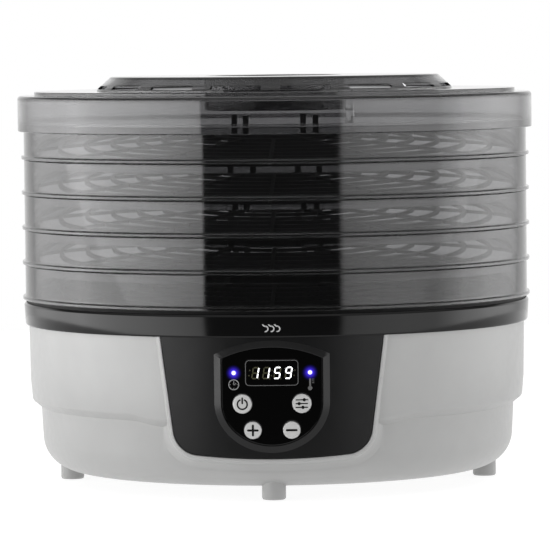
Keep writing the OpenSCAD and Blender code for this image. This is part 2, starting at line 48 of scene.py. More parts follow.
# ------------------------------------------------------------------ places, from the frame


def low(node):
    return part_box(node)[0].z / MM


def high(node):
    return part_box(node)[1].z / MM


def reach(node):
    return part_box(node)[1].x / MM


# Everything below is in millimetres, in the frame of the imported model.
SIDES = 288
TRAYS = 5
NEST = 6.4
TRAY_Z = [low(f"tray_{i + 1}") + NEST for i in range(TRAYS)]
PITCH = TRAY_Z[1] - TRAY_Z[0]
RIM_GAP = 0.3
LIP_R = reach("tray_1")
LIP_H = 2.3
TRAY_R = LIP_R - 1.7
TRAY_WALL = 1.8
SKIRT_OUT = LIP_R - 5.0
SKIRT_IN = SKIRT_OUT - 1.6
GRID_RINGS = [38, 55, 72, 88.5, 105, 122, 139, 155]
GRID_BAR = 2.4
SPOKES = 12
FLOOR_T = 2.0
FLOOR_LOW = -0.2
FLOOR_SLOPE = 0.045
HUB_IN = 30.0
HUB_OUT = 34.0
POST_R = 1.9
POST_TOP = 25.2
POST_TURN = 28

LID_R = reach("lid_shell")
LID_SEAT = TRAY_Z[-1] + PITCH
LID_LOW = low("lid_shell")
LID_IN = LID_R - 1.6
LID_T = 2.0
DISC_R = 154.3
DISC_H = 2.5
DISC_TOP = high("lid_shell")
LID_TOP = DISC_TOP - DISC_H
CROWN_FOOT_R = reach("lid_crown")
CROWN_R = CROWN_FOOT_R - 9.0
CROWN_HOLE_R = CROWN_FOOT_R - 6.0
CROWN_TOP = high("lid_crown")
WELL_R = 43.0
WELL_FLOOR = CROWN_TOP - 20.8

BASE_TOP = high("base_housing")
BASE_LOW = low("base_housing")
WALL_R = 159.2
WALL_T = 2.5
BOWL_R = 152.0
BOWL_TOP = 48.5
BOWL_ROUND = 22.0
STEP_TOP = 54.0
FRAME_R = 160.9
BAND_R = reach("trim_band")
BAND_TOP = high("trim_band")
BAND_IN = 160.7

FASCIA_R = 160.4
FASCIA_T = 2.2
FASCIA_HALF = 68.2
FASCIA_SLOPE = math.radians(7.3)
FASCIA_BOW = math.radians(5)
FASCIA_LOW = 27.5
FASCIA_CORNER = 16.0
PANEL_A = 30.9
PANEL_B = 26.5
PANEL_Z = 62.0
PANEL_ARC = 72.6
PANEL_ARC_Z = 22.9
BEZEL_W = 4.4
BEZEL_R = 161.9
OVERLAY_R = 160.9
WINDOW_W = 32.5
WINDOW_H = 15.8
WINDOW_ROUND = 2.5
LAMP_X = 23.2
LAMP_Z = 80.0
KEY_PROUD = 1.0
BOARD_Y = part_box("control_board")[0].y / MM

# ------------------------------------------------------------------ camera and light

AXIS_TO_CAMERA = 2705.0
CAMERA_HEIGHT = 284.0
CAMERA_TURN = math.radians(1.2)
CAMERA_ROLL = math.radians(0.61)
AIM_ASIDE = -0.8
AIM_HEIGHT = 130.4
LENS_MM = 275.2
# Brightness of the two soft boxes by angle round the object, in degrees from the front.
SOFTBOXES = [
    (-180, 0.16), (-144, 0.16), (-112, 0.6), (-98, 0.9), (-80, 0.86), (-60, 0.78), (-45, 0.62), (-32.2, 0.46),
    (-31.6, 0.012), (30.6, 0.012), (31.2, 0.3), (45, 0.38), (60, 0.4), (78, 0.36), (95, 0.62), (112, 0.58),
    (144, 0.16), (180, 0.16),
]
SOFTBOX_POWER = 6.0
OVERHEAD = 0.85
BEHIND = 0.7


def make_camera():
    data = bpy.data.cameras.new("photo_camera")
    data.lens = LENS_MM
    data.sensor_width = 36.0
    data.clip_end = 50.0
    camera = bpy.data.objects.new("photo_camera", data)
    scene.collection.objects.link(camera)
    place = Vector((
        AXIS_TO_CAMERA * math.sin(CAMERA_TURN) * MM,
        -AXIS_TO_CAMERA * math.cos(CAMERA_TURN) * MM,
        CAMERA_HEIGHT * MM,
    ))
    aim = Vector((AIM_ASIDE * MM, 0.0, AIM_HEIGHT * MM)) - place
    turn = aim.to_track_quat("-Z", "Y").to_matrix().to_4x4()
    roll = Matrix.Rotation(-CAMERA_ROLL, 4, "Z")
    camera.matrix_world = Matrix.Translation(place) @ turn @ roll
    scene.camera = camera


def node_link(tree, kind, inputs=None, **settings):
    """Adds a shader node, sets its properties, and links or sets its inputs."""
    made = tree.nodes.new(kind)
    for key, value in settings.items():
        setattr(made, key, value)
    for key, value in (inputs or {}).items():
        if isinstance(value, bpy.types.NodeSocket):
            tree.links.new(value, made.inputs[key])
        else:
            made.inputs[key].default_value = value
    return made


def maths(tree, operation, *values):
    """The result of a math node."""
    return node_link(tree, "ShaderNodeMath", dict(enumerate(values)), operation=operation).outputs[0]


def spread(tree, value, first, last, start=0.3, end=0.7):
    """The value carried over from the range start..end to the range first..last."""
    return node_link(tree, "ShaderNodeMapRange", {
        "Value": value, "From Min": start, "From Max": end, "To Min": first, "To Max": last}).outputs[0]


def distance(tree, place, middle):
    """How far a place is from a fixed point."""
    return node_link(tree, "ShaderNodeVectorMath", {
        0: place, 1: middle}, operation="DISTANCE").outputs["Value"]


def make_world():
    """Two tall soft boxes with a dark gap between them, and plain white behind the object."""
    world = bpy.data.worlds.new("studio")
    scene.world = world
    world.use_nodes = True
    tree = world.node_tree
    tree.nodes.clear()

    def fade(value, start, end, first, last):
        return node_link(tree, "ShaderNodeMapRange", {
            "Value": value, "From Min": start, "From Max": end, "To Min": first, "To Max": last},
            interpolation_type="SMOOTHSTEP").outputs[0]

    way = node_link(tree, "ShaderNodeTexCoord").outputs["Generated"]
    axes = node_link(tree, "ShaderNodeSeparateXYZ", {0: way}).outputs
    turn = maths(tree, "ARCTAN2", axes["X"], maths(tree, "MULTIPLY", axes["Y"], -1.0))
    ramp = node_link(tree, "ShaderNodeValToRGB", {0: spread(tree, turn, 0.0, 1.0, -math.pi, math.pi)})
    stops = ramp.color_ramp
    while len(stops.elements) < len(SOFTBOXES):
        stops.elements.new(0.5)
    for element, (degrees, level) in zip(stops.elements, SOFTBOXES):
        element.position = (degrees + 180.0) / 360.0
        element.color = (level, level, level, 1.0)
    height = maths(tree, "ARCSINE", axes["Z"])
    rising = fade(height, math.radians(-26), math.radians(-16), 0.0, 1.0)
    falling = fade(height, math.radians(14), math.radians(26), 1.0, 0.0)
    boxes = maths(tree, "MULTIPLY", ramp.outputs[0], maths(tree, "MULTIPLY", rising, falling))
    boxes = maths(tree, "MULTIPLY", boxes, SOFTBOX_POWER)
    overhead = fade(height, math.radians(18), math.radians(50), 0.0, OVERHEAD)
    behind = fade(axes["Y"], 0.5, 0.9, 0.0, BEHIND)
    level = maths(tree, "MAXIMUM", maths(tree, "ADD", boxes, overhead), behind)
    # The camera sees plain white, directly and through the clear plastic when it looks straight back.
    path = node_link(tree, "ShaderNodeLightPath").outputs
    through = maths(tree, "MULTIPLY", fade(axes["Y"], 0.8, 0.96, 0.0, 1.0), path["Is Transmission Ray"])
    plain = maths(tree, "MAXIMUM", path["Is Camera Ray"], through)
    shown = node_link(tree, "ShaderNodeMix", {
        "Factor": plain, "A": level, "B": 1.0}, data_type="FLOAT").outputs[0]
    background = node_link(tree, "ShaderNodeBackground", {"Color": (1.0, 1.0, 1.0, 1.0), "Strength": shown})
    output = node_link(tree, "ShaderNodeOutputWorld")
    tree.links.new(background.outputs[0], output.inputs["Surface"])


# ------------------------------------------------------------------ materials


def new_material(name):
    made = bpy.data.materials.new(name)
    made.use_nodes = True
    tree = made.node_tree
    shader = tree.nodes["Principled BSDF"]
    return made, tree, shader


def set_inputs(shader, **values):
    """Sets constant numbers and colours on the shader's own sockets."""
    for key, value in values.items():
        shader.inputs[key.replace("_", " ")].default_value = value


def noise(tree, scale, detail=2.0, roughness=0.5):
    place = node_link(tree, "ShaderNodeTexCoord").outputs["Object"]
    return node_link(tree, "ShaderNodeTexNoise", {
        "Vector": place, "Scale": scale, "Detail": detail, "Roughness": roughness}).outputs[0]


def tinted(tree, value, dark, light):
    return node_link(tree, "ShaderNodeMix", {
        "Factor": value, "A": (*dark, 1.0), "B": (*light, 1.0)}, data_type="RGBA").outputs[2]


def grain(tree, shader, scale, strength, distance, detail=2.0):
    bump = node_link(tree, "ShaderNodeBump", {
        "Height": noise(tree, scale, detail), "Strength": strength, "Distance": distance})
    tree.links.new(bump.outputs[0], shader.inputs["Normal"])


def moulded_plastic(name, colour, roughness, speckle=1800.0, bump=0.06, vary=0.04, shine=0.5):
    """Opaque moulded plastic: faint cloudy colour, uneven sheen and a fine spark-eroded grain."""
    made, tree, shader = new_material(name)
    dark = [c * (1 - vary) for c in colour]
    light = [min(1.0, c * (1 + vary)) for c in colour]
    cloud = spread(tree, noise(tree, 38.0, 4.0), 0.0, 1.0)
    tree.links.new(tinted(tree, cloud, dark, light), shader.inputs["Base Color"])
    sheen = spread(tree, noise(tree, 210.0, 3.0), roughness * 0.9, roughness * 1.12)
    tree.links.new(sheen, shader.inputs["Roughness"])
    set_inputs(shader, IOR=1.5, Specular_IOR_Level=shine)
    grain(tree, shader, speckle, bump, 0.00004)
    return made


def smoke_plastic(name, tint, clear=0.012):
    """See-through smoke-grey styrene with the slight waviness of a moulded wall."""
    made, tree, shader = new_material(name)
    set_inputs(shader, Base_Color=(*tint, 1.0), Transmission_Weight=1.0, IOR=1.5,
               Specular_Tint=(0.8, 0.8, 0.8, 1.0))
    haze = spread(tree, noise(tree, 60.0, 3.0), clear, clear * 1.6)
    tree.links.new(haze, shader.inputs["Roughness"])
    grain(tree, shader, 26.0, 0.03, 0.0004, 1.0)
    return made


def metal(name, colour, roughness, scale=900.0):
    made, tree, shader = new_material(name)
    shader.inputs["Metallic"].default_value = 1.0
    worn = spread(tree, noise(tree, scale, 4.0), 0.0, 1.0)
    tree.links.new(tinted(tree, worn, [c * 0.82 for c in colour], colour), shader.inputs["Base Color"])
    tree.links.new(spread(tree, noise(tree, scale * 2, 3.0), roughness * 0.8, roughness * 1.3),
                   shader.inputs["Roughness"])
    grain(tree, shader, scale * 3, 0.08, 0.00005)
    return made


def lamp(name, colour, strength):
    made, tree, shader = new_material(name)
    set_inputs(shader, Base_Color=(*colour, 1.0), Emission_Color=(*colour, 1.0),
               Emission_Strength=strength)
    tree.links.new(spread(tree, noise(tree, 400.0), 0.25, 0.4), shader.inputs["Roughness"])
    return made


def lamp_dome(name):
    """Lamp that is white in its middle and blue towards its rim."""
    made, tree, shader = new_material(name)
    place = node_link(tree, "ShaderNodeTexCoord").outputs["Object"]
    mirrored = node_link(tree, "ShaderNodeVectorMath", {0: place}, operation="ABSOLUTE").outputs["Vector"]
    axes = node_link(tree, "ShaderNodeSeparateXYZ", {0: mirrored}).outputs
    flat = node_link(tree, "ShaderNodeCombineXYZ", {0: axes["X"], 2: axes["Z"]}).outputs[0]
    middle = (LAMP_X * MM, 0.0, LAMP_Z * MM)
    fade = spread(tree, distance(tree, flat, middle), 1.0, 0.0, 0.0005, 0.0015)
    tree.links.new(tinted(tree, fade, (0.09, 0.05, 0.9), (2.0, 1.9, 2.6)), shader.inputs["Emission Color"])
    set_inputs(shader, Emission_Strength=1.0, Base_Color=(0.3, 0.3, 0.6, 1.0))
    tree.links.new(spread(tree, noise(tree, 400.0), 0.25, 0.4), shader.inputs["Roughness"])
    return made


def glow(name, x):
    """Black skin that shines blue round a lamp and fades out with distance from it."""
    made, tree, shader = new_material(name)
    place = node_link(tree, "ShaderNodeTexCoord").outputs["Object"]
    middle = (x * MM, on_front(x, OVERLAY_R) * MM, LAMP_Z * MM)
    fade = spread(tree, distance(tree, place, middle), 1.0, 0.0, 0.0012, 0.0054)
    soft = maths(tree, "POWER", fade, 2.6)
    colour = tinted(tree, soft, (0.0, 0.0, 0.0), (0.07, 0.035, 1.0))
    tree.links.new(colour, shader.inputs["Emission Color"])
    set_inputs(shader, Emission_Strength=1.1, Base_Color=(0.0004, 0.0004, 0.0004, 1.0),
               Specular_IOR_Level=0.3)
    tree.links.new(spread(tree, noise(tree, 300.0), 0.06, 0.09), shader.inputs["Roughness"])
    return made


def table_top(name):
    """Matt pale card, lit evenly from within like a sweep."""
    made, tree, shader = new_material(name)
    cloud = spread(tree, noise(tree, 6.0, 3.0), 0.0, 1.0)
    tree.links.new(tinted(tree, cloud, (0.28, 0.28, 0.28), (0.3, 0.3, 0.3)), shader.inputs["Base Color"])
    set_inputs(shader, Roughness=0.9, Specular_IOR_Level=0.0, Emission_Color=(1.0, 1.0, 1.0, 1.0),
               Emission_Strength=0.85)
    return made


def on_front(x, radius):
    """How far forward the panel's cylinder is at a distance x from its middle."""
    return -math.sqrt(radius * radius - x * x)


LOOKS = {
    "smoke": smoke_plastic("smoke_styrene", (0.33, 0.33, 0.335)),
    # The see-through tray grid drawn as opaque dark plastic: painted shade for the black look of its bars
    # seen edge-on.
    "smoke_grid_painted_dark": moulded_plastic("smoke_styrene_grid_painted_dark", (0.08, 0.08, 0.081), 0.5, shine=0.03),
    # A near-black copy of the smoke plastic for rounded rim edges: painted shade that draws their dark rim
    # lines.
    "smoke_painted_dark_edge": smoke_plastic("smoke_styrene_painted_dark_edge", (0.03, 0.03, 0.031)),
    "smoke_lid": smoke_plastic("smoke_styrene_lid", (0.33, 0.33, 0.335)),
    "smoke_crown": smoke_plastic("smoke_styrene_crown", (0.28, 0.28, 0.285)),
    "band": moulded_plastic("gloss_black_band", (0.003, 0.003, 0.0031), 0.1, 900.0, 0.006, 0.05, 0.22),
    "deck": moulded_plastic("black_deck", (0.004, 0.004, 0.0041), 0.45, shine=0.08),
    "housing": moulded_plastic("light_grey_housing", (0.345, 0.345, 0.342), 0.38, 2200.0, 0.05, 0.025, 0.4),
    "leg": moulded_plastic("light_grey_leg", (0.33, 0.33, 0.327), 0.4, 2200.0, 0.06, 0.03, 0.4),
    "fascia": moulded_plastic("charcoal_fascia", (0.006, 0.006, 0.0062), 0.32, 1900.0, 0.04, 0.05, 0.15),
    "bezel": moulded_plastic("grey_bezel", (0.008, 0.008, 0.0082), 0.22, 1500.0, 0.02, 0.05, 0.25),
    "overlay": moulded_plastic("gloss_overlay", (0.0004, 0.0004, 0.0004), 0.07, 700.0, 0.002, 0.1, 0.3),
    "key": moulded_plastic("pale_key", (0.47, 0.47, 0.465), 0.4, 2500.0, 0.05, 0.03, 0.4),
    "ink": moulded_plastic("printed_black", (0.003, 0.003, 0.003), 0.5, shine=0.1),
    "grey_print": moulded_plastic("printed_grey", (0.2, 0.2, 0.2), 0.5),
    "dim_print": moulded_plastic("printed_dark_grey", (0.09, 0.09, 0.09), 0.5),
    "silver_print": moulded_plastic("printed_silver", (0.4, 0.4, 0.4), 0.4),
    "window": moulded_plastic("display_lens", (0.0004, 0.0004, 0.0004), 0.05, 700.0, 0.002, 0.1, 0.3),
    "guard": moulded_plastic("black_guard", (0.008, 0.008, 0.0082), 0.45, shine=0.25),
    "motor_can": metal("motor_can", (0.55, 0.55, 0.57), 0.35, 300.0),
    "dark": moulded_plastic("dark_moulding", (0.03, 0.03, 0.031), 0.45),
    "rubber": moulded_plastic("black_rubber", (0.02, 0.02, 0.02), 0.6, 1400.0, 0.2),
    "board": moulded_plastic("board_lacquer", (0.02, 0.12, 0.05), 0.3, 600.0, 0.1, 0.12),
    "ribbon": moulded_plastic("ribbon_sheath", (0.45, 0.45, 0.45), 0.5),
    "insulation": moulded_plastic("lead_insulation", (0.22, 0.11, 0.05), 0.45),
    "tape": moulded_plastic("winding_tape", (0.6, 0.45, 0.06), 0.35),
    "blue": moulded_plastic("relay_case", (0.03, 0.08, 0.3), 0.3),
    "mica": moulded_plastic("mica_sheet", (0.45, 0.38, 0.25), 0.4, 300.0, 0.3, 0.15),
    "steel": metal("zinc_plated_steel", (0.62, 0.62, 0.63), 0.28),
    "bronze": metal("sintered_bronze", (0.55, 0.36, 0.16), 0.4),
    "wire": metal("heating_wire", (0.32, 0.26, 0.22), 0.45),
    "digit": lamp("lit_digit", (1.0, 1.0, 1.0), 1.25),
    # The unlit bars give off a faint painted glow, so they show dimly.
    "dim_digit": lamp("unlit_digit", (0.035, 0.034, 0.018), 0.4),
    "led": lamp_dome("blue_led"),
    "glow_left": glow("lamp_glow_left", -LAMP_X),
    "glow_right": glow("lamp_glow_right", LAMP_X),
    "table": table_top("pale_table"),
}


# ------------------------------------------------------------------ mesh helpers


def rounded(points, step=math.radians(14)):
    """An outline whose corners (x, y, radius) are turned into arcs. A corner without a radius stays sharp."""
    out = []
    for i, corner in enumerate(points):
        radius = corner[2] if len(corner) > 2 else 0.0
        here = Vector(corner[:2])
        if radius <= 0.0:
            out.append((here.x, here.y))
            continue
        before = Vector(points[i - 1][:2]) - here
        after = Vector(points[(i + 1) % len(points)][:2]) - here
        reach_back = min(before.length, after.length) * 0.49
        before.normalize()
        after.normalize()
        half = before.angle(after) / 2
        radius = min(radius, reach_back * math.tan(half))
        centre = here + (before + after).normalized() * (radius / math.sin(half))
        first = here + before * (radius / math.tan(half)) - centre
        last = here + after * (radius / math.tan(half)) - centre
        sweep = first.angle_signed(last)
        count = max(2, math.ceil(abs(sweep) / step))
        for k in range(count + 1):
            turned = Matrix.Rotation(-sweep * k / count, 2) @ first
            out.append((centre.x + turned.x, centre.y + turned.y))
    return out


def lathe(profile, sides=SIDES):
    """A closed outline of (radius, height) points, turned about the vertical axis."""
    bm = bmesh.new()
    rings = []
    for k in range(sides):
        a = 2 * math.pi * (k + 0.5) / sides
        rings.append([bm.verts.new((r * math.cos(a), r * math.sin(a), z)) for r, z in profile])
    for k in range(sides):
        here, there = rings[k], rings[(k + 1) % sides]
        for i in range(len(profile)):
            j = (i + 1) % len(profile)
            bm.faces.new((here[i], there[i], there[j], here[j]))
    bmesh.ops.remove_doubles(bm, verts=bm.verts, dist=1e-5)
    return bm


def tube(r_out, r_in, z_low, z_high, edge=0.3, sides=48):
    """A round post with a bore, or a solid one where r_in is 0, with softened edges."""
    if r_in > 0:
        outline = [(r_in, z_low, edge), (r_out, z_low, edge), (r_out, z_high, edge), (r_in, z_high, edge)]
    else:
        outline = [(0, z_low), (r_out, z_low, edge), (r_out, z_high, edge), (0, z_high)]
    return lathe(rounded(outline), sides)


def block(corner, far_corner, edge=0.4):
    """A box between two corners, with its edges bevelled."""
    bm = bmesh.new()
    bmesh.ops.create_cube(bm, size=1.0)
    size = Vector(far_corner) - Vector(corner)
    bmesh.ops.scale(bm, vec=size, verts=bm.verts)
    bmesh.ops.translate(bm, vec=Vector(corner) + size / 2, verts=bm.verts)
    if edge > 0:
        bmesh.ops.bevel(bm, geom=bm.edges[:], offset=edge, segments=3, profile=0.5, affect="EDGES")
    return bm


def moved(bm, *steps):
    """The bmesh after each matrix in turn."""
    for step in steps:
        bmesh.ops.transform(bm, matrix=step, verts=bm.verts)
    return bm


def shift(x, y, z):
    return Matrix.Translation((x, y, z))


def turned(degrees, axis="Z"):
    return Matrix.Rotation(math.radians(degrees), 4, axis)


def around(bm, radius, degrees):
    """The bmesh set this far in front of the axis and then turned about it."""
    return moved(bm, shift(0, -radius, 0), turned(degrees))


def together(*parts):
    """Several bmeshes as one, without cutting them into each other."""
    whole = parts[0]
    for part in parts[1:]:
        mesh = bpy.data.meshes.new("scratch")
        part.to_mesh(mesh)
        part.free()
        whole.from_mesh(mesh)
        bpy.data.meshes.remove(mesh)
    return whole


def boolean(first, second, operation):
    """The UNION, DIFFERENCE or INTERSECT of two closed bmeshes, as a new bmesh."""
    pair = []
    for bm in (first, second):
        bmesh.ops.recalc_face_normals(bm, faces=bm.faces)
        mesh = bpy.data.meshes.new("scratch")
        bm.to_mesh(mesh)
        bm.free()
        thing = bpy.data.objects.new("scratch", mesh)
        scene.collection.objects.link(thing)
        pair.append(thing)
    modifier = pair[0].modifiers.new("cut", "BOOLEAN")
    modifier.operation = operation
    modifier.solver = "MANIFOLD"
    modifier.object = pair[1]
    result = bmesh.new()
    result.from_object(pair[0], bpy.context.evaluated_depsgraph_get())
    for thing in pair:
        mesh = thing.data
        bpy.data.objects.remove(thing)
        bpy.data.meshes.remove(mesh)
    return result


def second_look(bm, wanted):
    """Gives the second material to the faces that are wanted, by radius and height of their middle."""
    for face in bm.faces:
        middle = face.calc_center_median()
        face.material_index = int(wanted(math.hypot(middle.x, middle.y), middle.z))


def piece(name, bm, look, body, replaces=(), crease=32.0):
    """Finishes a bmesh in millimetres as a piece in metres, smooth up to the crease angle."""
    bmesh.ops.remove_doubles(bm, verts=bm.verts, dist=1e-4)
    bmesh.ops.dissolve_degenerate(bm, edges=bm.edges, dist=1e-5)
    bmesh.ops.recalc_face_normals(bm, faces=bm.faces)
    bmesh.ops.scale(bm, vec=(MM, MM, MM), verts=bm.verts)
    mesh = bpy.data.meshes.new(name)
    bm.to_mesh(mesh)
    bm.free()
    mesh.shade_smooth()
    mesh.set_sharp_from_angle(angle=math.radians(crease))
    mesh.materials.append(LOOKS[look])
    made = bpy.data.objects.new(name, mesh)
    scene.collection.objects.link(made)
    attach(made, body)
    if replaces:
        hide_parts(*replaces)
    return made


def join_loops(bm, loops):
    """Faces between each closed loop of vertices and the next one."""
    for here, there in zip(loops, loops[1:]):
        for i in range(len(here)):
            j = (i + 1) % len(here)
            bm.faces.new((here[i], here[j], there[j], there[i]))


# Width of the flat border inside a plate's rounded edge.
FLAT_RING = 0.4


def plate(outlines, section, radius, slice_step=2.5):
    """A plate bent round the front of the base. Each outline is a function of how far it is grown.

    The first outline is the plate's edge and the others are holes in it. The section runs from the
    front face over the edge to the back face, as (inset, height over radius) points.
    """
    bm = bmesh.new()
    section = [(section[0][0] + FLAT_RING, section[0][1])] + section if section[0][0] else section
    rows = []
    for number, outline in enumerate(outlines):
        sign = -1 if number == 0 else 1
        loops = []
        for inset, height in section:
            loops.append([bm.verts.new((x, -height, z)) for x, z in outline(sign * inset)])
        join_loops(bm, loops)
        rows.append(loops)
    for end in (0, -1):
        edges = []
        for loops in rows:
            loop = loops[end]
            for i in range(len(loop)):
                edge = bm.edges.get((loop[i - 1], loop[i]))
                edges.append(edge or bm.edges.new((loop[i - 1], loop[i])))
        bmesh.ops.triangle_fill(bm, use_beauty=True, edges=edges)
    xs = [v.co.x for v in bm.verts]
    x = math.ceil(min(xs) / slice_step) * slice_step
    while x < max(xs):
        everything = bm.verts[:] + bm.edges[:] + bm.faces[:]
        bmesh.ops.bisect_plane(bm, geom=everything, dist=1e-4, plane_co=(x, 0, 0), plane_no=(1, 0, 0))
        x += slice_step
    for v in bm.verts:
        v.co.y = on_front(v.co.x, radius - v.co.y)
    return bm


def arc(cx, cz, rx, rz, start, end, count):
    """Points along an arc, with the angles in radians."""
    angles = [start + (end - start) * i / count for i in range(count + 1)]
    return [(cx + rx * math.cos(a), cz + rz * math.sin(a)) for a in angles]


def fascia_outline(grown, top=None):
    """Control fascia: slanted sides, round lower corners and a slightly bowed bottom."""
    top = BASE_TOP if top is None else top
    s = FASCIA_SLOPE
    r = FASCIA_CORNER
    edge = FASCIA_HALF * math.cos(s) - BASE_TOP * math.sin(s)
    cx = (edge - r + (FASCIA_LOW + r) * math.sin(s)) / (math.cos(s) - math.sin(s) * math.tan(FASCIA_BOW / 2))
    cz = FASCIA_LOW + r + cx * math.tan(FASCIA_BOW / 2)
    bow_r = r + cx / math.sin(FASCIA_BOW)
    side = (cx + (r + grown) * math.cos(s), cz - (r + grown) * math.sin(s))
    quarter = math.pi / 2
    right = arc(0, FASCIA_LOW + bow_r, bow_r + grown, bow_r + grown, -quarter, -quarter + FASCIA_BOW, 12)[:-1]
    right += arc(cx, cz, r + grown, r + grown, -quarter + FASCIA_BOW, -s, 20)
    count = 16
    for i in range(1, count + 1):
        z = side[1] + (top - side[1]) * i / count
        right.append((side[0] + (z - side[1]) * math.tan(s), z))
    left = [(-x, z) for x, z in reversed(right[1:])]
    return right + left


def panel_outline(grown):
    """Overlay: a shallow arc on top, upright sides and half an ellipse below."""
    a = PANEL_A + grown
    r = PANEL_ARC + grown
    half = math.asin(a / r)
    lower = arc(0, PANEL_Z, a, PANEL_B + grown, -math.pi, 0, 64)
    upper = arc(0, PANEL_ARC_Z, r, r, math.pi / 2 - half, math.pi / 2 + half, 28)
    return lower + upper


def circle(x, z, r, count):
    """Points all round a circle."""
    return arc(x, z, r, r, 0, 2 * math.pi * (count - 1) / count, count - 1)


def circle_outline(x, z, r, count):
    return lambda grown: circle(x, z, r + grown, count)


def rectangle_outline(x, z, w, h, r):
    """A rectangle with round corners."""
    def outline(grown):
        points = []
        for quarter, (sx, sz) in enumerate([(1, 1), (-1, 1), (-1, -1), (1, -1)]):
            start = quarter * math.pi / 2
            cx, cz = x + sx * (w / 2 - r), z + sz * (h / 2 - r)
            points += arc(cx, cz, r + grown, r + grown, start, start + math.pi / 2, 8)
        return points
    return outline


def fixed_outline(points):
    return lambda grown: points


def pill(x0, z0, x1, z1, width):
    """A straight stroke with round ends."""
    a = math.atan2(z1 - z0, x1 - x0)
    r = width / 2
    return arc(x1, z1, r, r, a - math.pi / 2, a + math.pi / 2, 8) + arc(
        x0, z0, r, r, a + math.pi / 2, a + 1.5 * math.pi, 8)


def bent_stroke(x, z, r, width, start, end, count=28):
    """A stroke along part of a circle, with the angles in degrees."""
    a, b = math.radians(start), math.radians(end)
    w = width / 2
    outer = arc(x, z, r + w, r + w, a, b, count)
    tip = arc(x + r * math.cos(b), z + r * math.sin(b), w, w, b, b + math.pi, 8)[1:-1]
    inner = arc(x, z, r - w, r - w, b, a, count)
    tail = arc(x + r * math.cos(a), z + r * math.sin(a), w, w, a + math.pi, a + 2 * math.pi, 8)[1:-1]
    return outer + tip + inner + tail


PRINT_T = 0.06


def prints(name, shapes, radius, look, body):
    """Printed marks: thin plates that lie on the panel's cylinder. A shape is an outline and its holes."""
    parts = []
    for shape in shapes:
        outlines = [fixed_outline(loop) for loop in shape]
        parts.append(plate(outlines, [(0, PRINT_T), (0, -0.02)], radius))
    return piece(name, together(*parts), look, body)


# ------------------------------------------------------------------ base


def housing_radius(z):
    """Radius of the housing's outer surface at a height, above its round bottom edge."""
    if z <= BOWL_TOP:
        return BOWL_R
    if z >= STEP_TOP:
        return WALL_R - 1.0
    return BOWL_R + (WALL_R - 1.0 - BOWL_R) * (z - BOWL_TOP) / (STEP_TOP - BOWL_TOP)


def housing_outline():
    """Bowl with a round bottom edge, an undercut step and a wider wall, as one closed skin."""
    cx, cz, r = BOWL_R - 1 - BOWL_ROUND, BASE_LOW + BOWL_ROUND, BOWL_ROUND
    outer = arc(cx, cz, r, r, -math.pi / 2, math.radians(-4), 18)
    step = rounded([
        (cx + r, cz), (BOWL_R, BOWL_TOP, 0.4), (WALL_R - 1.6, STEP_TOP - 1.0, 2.6),
        (WALL_R - 0.4, STEP_TOP + 20),
    ])[1:-1]
    wall = [(WALL_R - 0.5, 66), (WALL_R - 0.35, 78), (WALL_R - 0.15, 90), (WALL_R, BASE_TOP)]
    t = WALL_T
    inner = [(WALL_R - t, BASE_TOP), (WALL_R - t - 0.8, STEP_TOP + 1), (BOWL_R - t, BOWL_TOP + 1)]
    inner += arc(cx, cz, r - t, r - t, math.radians(-4), -math.pi / 2, 10)
    return [(0, BASE_LOW)] + outer + step + wall + inner + [(0, BASE_LOW + t)]


# The dip is this deep, starts at the frame's angle and runs out over the second angle, in degrees.
STEP_DIP = 3.2
FRAME_TURN = 26.3
DIP_TURN = 8.5


def dip_step(bm):
    """Lowers the step gently where it runs into the fascia's frame."""
    for v in bm.verts:
        away = abs(math.degrees(math.atan2(v.co.x, -v.co.y))) - FRAME_TURN
        near = min(1.0, max(0.0, 1.0 - away / DIP_TURN))
        share = near * near * (3 - 2 * near)
        level = 1.0 - min(1.0, abs(v.co.z - STEP_TOP + 3) / 17.0)
        v.co.z -= STEP_DIP * share * level * level * (3 - 2 * level)


# How far outside the fascia's edge, and the radius there.
FRAME_SECTION = [
    (0.15, 149.0), (0.15, 160.0), (0.35, 160.6), (0.8, FRAME_R - 0.05), (1.4, FRAME_R),
    (2.0, FRAME_R - 0.15), (2.5, 160.3), (2.8, 159.6), (3.0, 158.6), (3.2, 156.5), (3.7, 154.4),
    (4.6, 153.0), (6.0, 152.1), (8.5, 151.2),
]


def fascia_frame():
    """Rounded frame that the fascia drops into, with a hollow that runs out on the bowl."""
    bm = bmesh.new()
    top = BASE_TOP
    columns = []
    for m, r in FRAME_SECTION:
        points = fascia_outline(m, top)[:-1]
        middle = points.index(max(points, key=lambda p: (p[1] > top - 1e-6, p[0])))
        right = points[:middle + 1]
        left = [(-x, z) for x, z in reversed(right[1:])]
        columns.append([(x, z, r) for x, z in left + right])
    rows = []
    for k in range(len(columns[0])):
        row = []
        for column in columns:
            x, z, r = column[k]
            r = max(r, housing_radius(z) - 1.2)
            row.append(bm.verts.new((x, on_front(x, r), z)))
        rows.append(row)
    join_loops(bm, rows)
    bm.faces.new(rows[0])
    bm.faces.new(list(reversed(rows[-1])))
    bmesh.ops.remove_doubles(bm, verts=bm.verts, dist=1e-4)
    return bm


def prism(points, y_from, y_to):
    """A flat outline in x and z, drawn out along y."""
    bm = bmesh.new()
    front = [bm.verts.new((x, y_from, z)) for x, z in points]
    back = [bm.verts.new((x, y_to, z)) for x, z in points]
    bm.faces.new(front)
    bm.faces.new(list(reversed(back)))
    for i in range(len(points)):
        j = (i + 1) % len(points)
        bm.faces.new((front[i], back[i], back[j], front[j]))
    return bm


INTAKES = 30
SCREW_CIRCLE = 128
FOOT_CIRCLE = 133
FOOT_R = 7.4
GLAND_Z = 30


